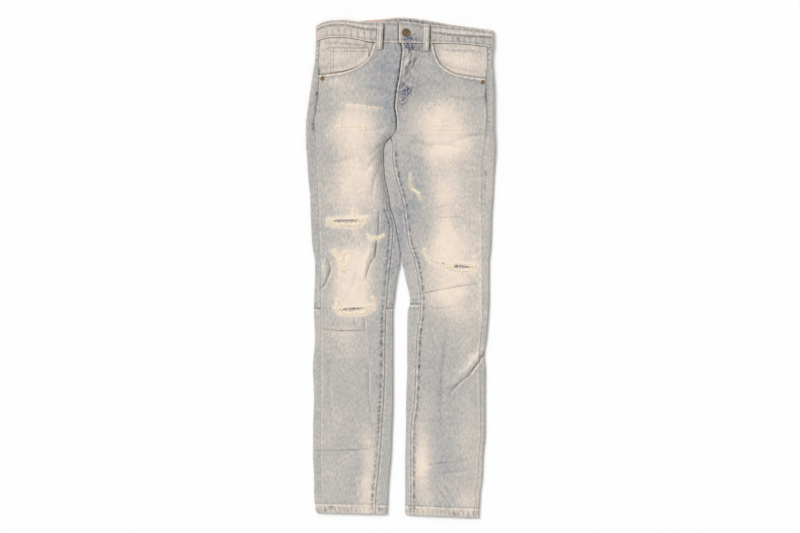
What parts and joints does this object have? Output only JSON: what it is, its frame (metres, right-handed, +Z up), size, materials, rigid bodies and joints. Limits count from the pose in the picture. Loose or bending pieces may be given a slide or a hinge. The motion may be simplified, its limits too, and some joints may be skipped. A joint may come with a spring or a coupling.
{
  "type": "ripped jeans",
  "caption": "Slim five-pocket jeans in light bleached denim, laid flat with the front up, with open frayed rips across the legs.",
  "frame": {"origin": "middle of the outline, on the surface that the jeans lie on", "axes": "+Y along the legs towards the waistband, +X to the wearer's left, which is the viewer's right, +Z up from the surface, with the front of the jeans up"},
  "size_m": [0.395, 1.0436, 0.014],
  "materials": {
    "denim_worn": "matt, bleached and worn denim",
    "denim": "matt, light blue-grey denim",
    "fray": "matt, loose cotton threads",
    "label": "matt, bare",
    "metal": "satin, aged"
  },
  "bodies": {
    "root": {"front_right": "denim_worn", "front_left": "denim_worn", "back_thigh_right": "denim", "back_thigh_left": "denim", "back_calf_right": "denim", "back_calf_left": "denim", "yoke_right": "denim", "yoke_left": "denim", "waistband": "denim", "pocket_facing_right": "denim", "pocket_facing_left": "denim", "coin_pocket": "denim", "back_pocket_right": "denim", "back_pocket_left": "denim", "belt_loop_front_right": "denim", "belt_loop_front_left": "denim", "belt_loop_back_right": "denim", "belt_loop_back_centre": "denim", "belt_loop_back_left": "denim", "fringe_thigh_right_upper": "fray", "fringe_thigh_right_lower": "fray", "fringe_knee_right_upper": "fray", "fringe_knee_right_lower": "fray", "fringe_knee_left_upper": "fray", "fringe_knee_left_lower": "fray", "inner_label": "label", "button": "metal", "rivet_right": "metal", "rivet_left": "metal"}
  },
  "joints": []
}
